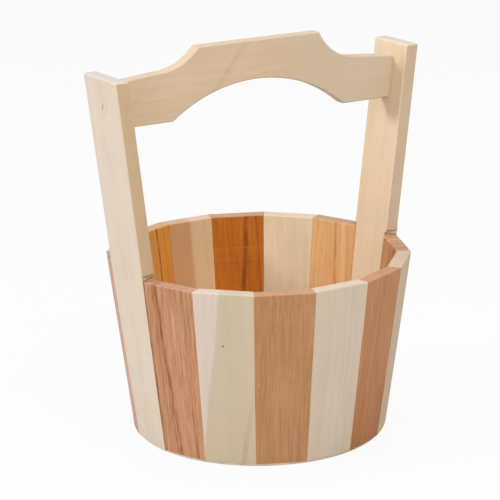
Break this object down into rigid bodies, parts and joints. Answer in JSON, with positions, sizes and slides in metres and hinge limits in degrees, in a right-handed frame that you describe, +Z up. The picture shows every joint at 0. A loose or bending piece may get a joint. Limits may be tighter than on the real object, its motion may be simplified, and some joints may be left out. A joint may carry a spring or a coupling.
{
  "type": "wooden pail",
  "caption": "Hoopless wooden pail of flat bevelled staves in alternating tones; opposite staves run on upward and carry an arched crosspiece as a fixed handle.",
  "frame": {"origin": "on the underside of the base, at the centre of the stave polygon", "axes": "+Z up, along the pail's height; +X towards the right handle stave, so the handle lies along X; -Y is the side the picture looks at"},
  "size_m": [0.2616, 0.2258, 0.2975],
  "materials": {
    "stave_01_wood": "fine satin oil finish, orange red",
    "stave_02_wood": "fine satin oil finish, pale",
    "stave_03_wood": "fine satin oil finish, dark orange",
    "stave_04_wood": "fine satin oil finish, two tone",
    "stave_05_wood": "fine satin oil finish, orange",
    "stave_06_wood": "fine satin oil finish, pale shaded",
    "stave_07_wood": "fine satin oil finish, red brown",
    "stave_08_wood": "fine satin oil finish, barky red",
    "stave_09_wood": "fine satin oil finish, knotty pale",
    "stave_10_wood": "fine satin oil finish, front red",
    "stave_11_wood": "fine satin oil finish, front pale",
    "stave_12_wood": "fine satin oil finish, side red",
    "stave_13_wood": "fine satin oil finish, side pale",
    "stave_14_wood": "fine satin oil finish, end red",
    "handle_stave_right_wood": "fine satin oil finish, pale",
    "handle_stave_left_wood": "fine satin oil finish, pale",
    "crosspiece_wood": "fine satin oil finish, pale, one darker streak",
    "plug_wood": "satin, pale end grain",
    "screw_steel": "plain steel",
    "base_wood": "matt, pale greyish",
    "peg_wood": "matt, pale",
    "brad_steel": "plain steel"
  },
  "bodies": {
    "root": {"stave_01": "stave_01_wood", "stave_02": "stave_02_wood", "stave_03": "stave_03_wood", "stave_04": "stave_04_wood", "stave_05": "stave_05_wood", "stave_06": "stave_06_wood", "stave_07": "stave_07_wood", "stave_08": "stave_08_wood", "stave_09": "stave_09_wood", "stave_10": "stave_10_wood", "stave_11": "stave_11_wood", "stave_12": "stave_12_wood", "stave_13": "stave_13_wood", "stave_14": "stave_14_wood", "handle_stave_right": "handle_stave_right_wood", "handle_stave_left": "handle_stave_left_wood", "crosspiece": "crosspiece_wood", "handle_plug_right": "plug_wood", "handle_screw_right": "screw_steel", "handle_plug_left": "plug_wood", "handle_screw_left": "screw_steel", "base_plate": "base_wood", "stave_pegs": "peg_wood", "base_brads": "brad_steel"}
  },
  "joints": []
}
